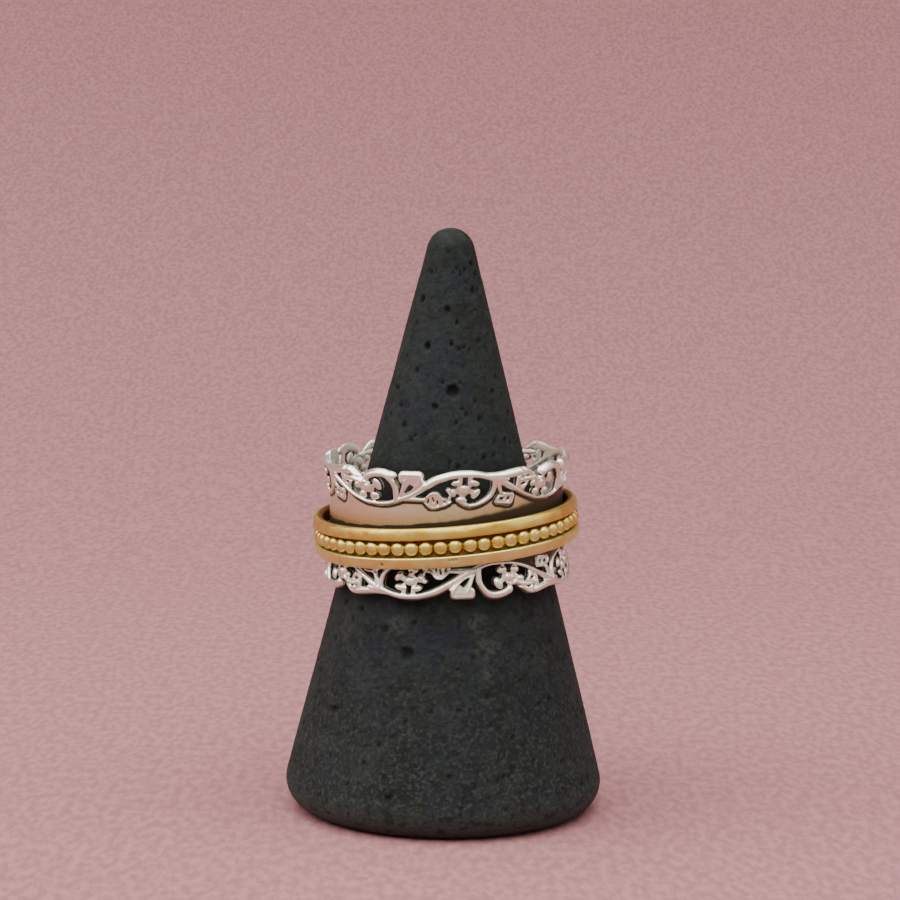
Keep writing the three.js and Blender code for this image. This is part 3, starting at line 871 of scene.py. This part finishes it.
def rails_piece():
    """The spinner's band: its two rails, worn a little uneven, and the groove for the beads."""
    columns = BEAD_COUNT * COLUMNS_PER_BEAD
    profile = rail_profile()
    vertices = turned(profile, columns)
    outside = smooth_step(SPINNER_RADIUS - 0.45, SPINNER_RADIUS, np.hypot(vertices[:, 0], vertices[:, 1]))
    wear = 0.018 * ripple(vertices, 5.0, seed=7) + 0.010 * ripple(vertices, 1.6, seed=8)
    vertices[:, :2] *= (1 + (wear - 0.012) * outside / SPINNER_RADIUS)[:, None]
    marked = np.zeros(len(vertices))
    for angle, height, depth, size in RAIL_MARKS:
        marked = np.maximum(marked, dent(vertices, angle, height, SPINNER_RADIUS, depth, size))
    radius = np.hypot(vertices[:, 0], vertices[:, 1])
    in_groove = np.abs(vertices[:, 2]) < GROOVE_HALF_WIDTH + 0.1
    # painted shade: the bore and the inner side of the rails' tops are painted dark
    in_bore = smooth_step(10.35, 10.6, radius)
    polish = np.where(in_groove, smooth_step(10.45, 10.8, radius), in_bore) * (1 - 0.9 * marked)
    quads = [face[::-1] for face in wrapped_quads(len(profile), columns, closes=True)]
    piece = new_piece("spinner_rails", vertices, quads, GOLD, SPINNER_SEAT, polish=polish)
    stands_for(piece, "spinner", "gold_spinner")


def beads_piece():
    """The row of beads soldered in the groove, each a little different."""
    ball = bmesh.new()
    bmesh.ops.create_icosphere(ball, subdivisions=3, radius=1)
    shape = np.array([v.co for v in ball.verts])
    ball_faces = np.array([[v.index for v in f.verts] for f in ball.faces])
    ball.free()
    draw = np.random.default_rng(5)
    boxy = shape / np.linalg.norm(shape, ord=BEAD_SQUARENESS, axis=1, keepdims=True)
    vertices, faces, polish = [], [], []
    for k in range(BEAD_COUNT):
        size = np.array(BEAD_HALF_SIZE) * (1 + draw.normal(0, 0.015, 3))
        body = boxy * size * (1 + 0.015 * ripple(shape + k, 1.1, seed=100 + k))[:, None]
        turn = BEAD_PHASE + k * 360 / BEAD_COUNT + draw.normal(0, 0.08)
        centre = around(BEAD_ROW_RADIUS, turn, draw.normal(0, 0.015))
        c, s = math.cos(math.radians(turn)), math.sin(math.radians(turn))
        placed = body @ np.array([[c, s, 0], [-s, c, 0], [0, 0, 1]]) + centre
        polish.append(smooth_step(-0.8, -0.1, -shape[:, 1]))
        faces.append(ball_faces + len(shape) * k)
        vertices.append(placed)
    faces = np.vstack(faces).tolist()
    piece = new_piece(
        "bead_row", np.vstack(vertices), faces, GOLD, SPINNER_SEAT, 180, polish=np.concatenate(polish)
    )
    stands_for(piece, "spinner", "gold_spinner")


# ---------------- display cone
# Pits that show: (angle, height, radius, depth), degrees from the front and millimetres.
LARGE_PITS = [
    (4.5, 34.8, 0.62, 0.42), (-17.5, 14.4, 0.62, 0.30), (-27, 38.3, 0.36, 0.32), (-48.5, 41.9, 0.34, 0.3),
    (-3.5, 41.2, 0.32, 0.28), (41, 42.7, 0.30, 0.28), (49, 44.8, 0.26, 0.22), (-12.5, 33.6, 0.36, 0.26),
    (66, 32.8, 0.3, 0.28), (-30, 16.2, 0.38, 0.16), (-52, 9.4, 0.36, 0.3), (-47, 17.4, 0.3, 0.24),
    (-63.5, 14.6, 0.28, 0.24), (-66.5, 10.2, 0.28, 0.24), (-19.5, 3.4, 0.42, 0.24), (2, 5.3, 0.3, 0.2),
    (26.5, 5.6, 0.5, 0.1), (-21.5, 4.9, 0.4, 0.08), (-15, 16.9, 0.26, 0.18), (47, 34.7, 0.26, 0.18),
    (25, 34.0, 0.24, 0.16), (28.5, 29.6, 0.28, 0.2), (8, 28.9, 0.26, 0.18), (-36, 36.3, 0.24, 0.16),
    (-40, 32.0, 0.28, 0.18), (-31, 30.9, 0.26, 0.16), (-49, 33.5, 0.3, 0.2), (-62, 34.8, 0.28, 0.2),
    (10.5, 40.2, 0.24, 0.18), (-5, 45.7, 0.28, 0.1), (-39, 44.1, 0.24, 0.14), (38, 38.7, 0.26, 0.14),
    (52, 30.8, 0.26, 0.16), (12.5, 33.5, 0.22, 0.14), (35, 12.3, 0.3, 0.14), (28, 8.0, 0.26, 0.14),
    (50, 10.5, 0.3, 0.18), (6, 10.3, 0.26, 0.16), (-62, 17.6, 0.36, 0.22),
]
# Pale stains: (angle, height, radius, strength).
STAINS = [
    (16, 17.0, 1.5, 0.8), (20, 14.8, 1.7, 0.85), (19, 12.9, 1.1, 0.8), (-24, 16.6, 1.3, 0.7),
    (-55, 15.8, 2.4, 0.35), (-38, 11.5, 2.0, 0.25), (-30, 5.5, 2.2, 0.25), (18, 4.0, 2.0, 0.3),
    (3, 9.5, 1.4, 0.3), (-8, 31.5, 0.9, 0.25), (28, 8.5, 1.5, 0.25), (-55, 6.5, 1.4, 0.3),
    (48, 13.5, 1.5, 0.25), (140, 12.0, 1.6, 0.4), (-120, 9.0, 1.8, 0.35), (175, 30.0, 1.0, 0.3),
    (95, 7.0, 1.5, 0.35),
]
SMALL_PIT_COUNT = 640
SMALL_PIT_RADIUS = (0.1, 0.24)


def cone_profile():
    """Rows of (radius, height) from the centre of the underside up over the rounded foot to the tip."""
    side = 1 / math.cos(CONE_HALF_ANGLE)
    foot = side_radius(CONE_FOOT_ROUNDING) - CONE_FOOT_ROUNDING * side
    tip_height = CONE_HIGH.z - CONE_TIP_ROUNDING
    tip = side_radius(tip_height) - CONE_TIP_ROUNDING * side
    lean = math.degrees(CONE_HALF_ANGLE)
    foot_arc = arc((foot, CONE_FOOT_ROUNDING), CONE_FOOT_ROUNDING, -90, lean, 16)
    tip_arc = arc((tip, tip_height), CONE_TIP_ROUNDING, lean, 90, 10)
    length = np.linalg.norm(tip_arc[0] - foot_arc[-1])
    steps = round(length / CONE_ROW_STEP)
    share = np.linspace(0, 1, steps, endpoint=False)[1:, None]
    side_rows = foot_arc[-1] + (tip_arc[0] - foot_arc[-1]) * share
    underside = [(foot * share, 0.0) for share in (0.25, 0.6, 0.9)]
    return np.vstack([underside, foot_arc, side_rows, tip_arc, [(tip / 2, CONE_HIGH.z)]])


def side_radius(height):
    """Radius of the cone's straight side at a height."""
    return CONE_FLOOR_RADIUS - math.tan(CONE_HALF_ANGLE) * height


def pit_list():
    """The large pits, and small ones scattered evenly over the side."""
    draw = np.random.default_rng(11)
    pits = list(LARGE_PITS)
    while len(pits) < len(LARGE_PITS) + SMALL_PIT_COUNT:
        height = draw.uniform(1.5, CONE_HIGH.z - 2)
        if draw.uniform() > side_radius(height) / CONE_FLOOR_RADIUS:
            continue
        radius = draw.uniform(*SMALL_PIT_RADIUS)
        pits.append((draw.uniform(-180, 180), height, radius, radius * draw.uniform(0.5, 1.0)))
    return pits


def pit_fields(vertices, ragged):
    """How deep each vertex of the cone lies in a pit, and how dark it is, in pits and in painted shade behind
    the ring.
    """
    sink = np.zeros(len(vertices))
    dark = np.zeros(len(vertices))
    for place, height, radius, depth in pit_list():
        centre = around(side_radius(height), place, height)
        near = np.flatnonzero(np.abs(vertices[:, 2] - height) < 2 * radius)
        share = np.linalg.norm(vertices[near] - centre, axis=1) / (radius * ragged[near])
        hollow = 1 - smooth_step(0.45, 1.0, share)
        sink[near] = np.maximum(sink[near], depth * hollow)
        dark[near] = np.maximum(dark[near], hollow * min(1, depth / 0.16))
    # painted shade on the stone behind the ring
    from_ring = np.abs((vertices - np.array(RING_CENTRE)) @ np.array(RING_AXIS))
    shaded = 0.93 * (1 - smooth_step(4.1, 5.3, from_ring))  # the ring shades the stone it hides
    return sink, np.maximum(dark, shaded)


def stain_field(vertices, ragged):
    """How strongly each vertex of the cone is stained."""
    stain = np.zeros(len(vertices))
    for place, height, radius, strength in STAINS:
        centre = around(side_radius(height), place, height)
        share = np.linalg.norm(vertices - centre, axis=1) / (radius * ragged)
        stain = np.maximum(stain, strength * (1 - smooth_step(0.2, 1.0, share)))
    return stain


def end_caps(rows, columns):
    """Faces that close a turned grid: its first row round the next vertex, its last round the one after."""
    last = (rows - 1) * columns
    centre = rows * columns
    first_cap = [(centre, (k + 1) % columns, k) for k in range(columns)]
    last_cap = [(centre + 1, last + k, last + (k + 1) % columns) for k in range(columns)]
    return first_cap + last_cap


def cone_piece():
    """The stone cone, with its pits sunk into the surface."""
    profile = cone_profile()
    vertices = np.vstack([turned(profile, CONE_COLUMNS), [(0, 0, 0), (0, 0, CONE_HIGH.z)]])
    ragged = 1 + PIT_RAGGEDNESS * ripple(vertices, 0.5, seed=3)
    sink, pit_and_ring_shade = pit_fields(vertices, ragged)
    stain = stain_field(vertices, ragged)
    sink += 0.012 + 0.02 * ripple(vertices, 6.0, seed=4) + 0.01 * ripple(vertices, 0.9, seed=5)
    radius = np.hypot(vertices[:, 0], vertices[:, 1])
    on_side = (vertices[:, 2] > 0.3) & (radius > 1.0)
    sink = np.where(on_side, np.maximum(sink, 0), 0)
    vertices[:, :2] *= (1 - sink / np.maximum(radius, 1.0))[:, None]
    faces = wrapped_quads(len(profile), CONE_COLUMNS, closes=False) + end_caps(len(profile), CONE_COLUMNS)
    tones = {"pit_and_ring_shade": pit_and_ring_shade, "stain": stain}
    piece = new_piece("stone_cone", vertices, faces, STONE, Matrix.Identity(4), 180, **tones)
    stands_for(piece, "root", "display_cone")


# ---------------- studio, lights and camera
FLOOR_RADIUS = 110
WALL_ROUNDING = 600
WALL_HEIGHT = 1000
FLOOR_COLUMNS = 96
FLOOR_ROSY_TO = -36.0  # along Y, and from there on it turns grey
FLOOR_GREY_FROM = -190.0
CAMERA_DISTANCE = 222.8  # in front of the cone's axis
CAMERA_HEIGHT = 57.6
CAMERA_PITCH = math.radians(7.18)  # looking down
CAMERA_YAW = math.radians(0.045)
CAMERA_ROLL = math.radians(0.82)
CAMERA_LENS = 110.2
# Soft lights: name, place and side in millimetres, power, and colour.
LIGHTS = [
    ("overhead", (-40, -110, 420), 760, 8.5, (1.0, 0.98, 0.95)),
    ("left_fill", (-420, -60, 260), 300, 1.0, (1.0, 0.98, 0.96)),
    ("right_fill", (420, -60, 200), 300, 0.6, (0.94, 1.0, 0.97)),
]
WORLD_COLOUR = (1.0, 0.95, 0.92, 1)
WORLD_STRENGTH = 0.25


def studio_floor():
    """A plain rosy floor that curves up into a round wall, and slowly turns grey towards the camera.

    The camera doesn't see the grey part, but the silver reflects it.
    """
    rounding = arc((FLOOR_RADIUS, WALL_ROUNDING), WALL_ROUNDING, -90, 0, 40)
    wall = (FLOOR_RADIUS + WALL_ROUNDING, WALL_HEIGHT)
    profile = np.vstack([[(1.0, 0.0)], rounding, [wall]])
    vertices = np.vstack([turned(profile, FLOOR_COLUMNS), [(0, 0, 0)]])
    faces = [face[::-1] for face in wrapped_quads(len(profile), FLOOR_COLUMNS, closes=False)]
    faces += [(len(vertices) - 1, k, (k + 1) % FLOOR_COLUMNS) for k in range(FLOOR_COLUMNS)]
    s = Shader("studio_floor")
    nap = s.noise(1.7, 2.0, stretch=(1.2, 3, 1.3))
    mottled = s.mix(s.ramp(nap, 0.3, 0.7), (0.254, 0.119, 0.128, 1), (0.336, 0.160, 0.170, 1))
    along_y = s.maths("DIVIDE", s.add("SeparateXYZ", {0: s.place}).outputs["Y"], MM)
    greyer = s.ramp(along_y, FLOOR_ROSY_TO, FLOOR_GREY_FROM)
    colour = s.mix(greyer, mottled, (0.27, 0.232, 0.208, 1))
    material = s.finish(Base_Color=colour, Roughness=1.0, Specular_IOR_Level=0.0)
    new_piece("studio_floor", vertices, faces, material, Matrix.Identity(4), 180)


def soft_light(name, place, size, power, colour):
    """A square soft light at a place in millimetres, facing the ring."""
    light = bpy.data.lights.new(name, "AREA")
    light.size = size * MM
    light.energy = power
    light.color = colour
    lamp = bpy.data.objects.new(name, light)
    bpy.context.scene.collection.objects.link(lamp)
    lamp.location = Vector(place) * MM
    lamp.rotation_euler = (RING_CENTRE * MM - lamp.location).to_track_quat("-Z", "Y").to_euler()


def studio_lights():
    """A broad light above the front, a weak one from each side, and a dim warm world."""
    for light in LIGHTS:
        soft_light(*light)
    world = bpy.data.worlds.new("studio_world")
    world.use_nodes = True
    glow = world.node_tree.nodes["Background"].inputs
    glow["Color"].default_value = WORLD_COLOUR
    glow["Strength"].default_value = WORLD_STRENGTH
    bpy.context.scene.world = world


def studio_camera():
    """The camera, in front of the cone and a little above the ring."""
    camera = bpy.data.objects.new("camera", bpy.data.cameras.new("camera"))
    camera.data.lens = CAMERA_LENS
    camera.data.clip_start = 10 * MM
    place = Matrix.Translation(Vector((0, -CAMERA_DISTANCE, CAMERA_HEIGHT)) * MM)
    yaw = Matrix.Rotation(-CAMERA_YAW, 4, "Z")
    pitch = Matrix.Rotation(math.pi / 2 - CAMERA_PITCH, 4, "X")
    roll = Matrix.Rotation(CAMERA_ROLL, 4, "Z")
    camera.matrix_world = place @ yaw @ pitch @ roll
    bpy.context.scene.collection.objects.link(camera)
    bpy.context.scene.camera = camera


studio_camera()
studio_floor()
studio_lights()
border_piece("upper_border", True)
border_piece("lower_border", False)
sleeve_piece()
rails_piece()
beads_piece()
cone_piece()
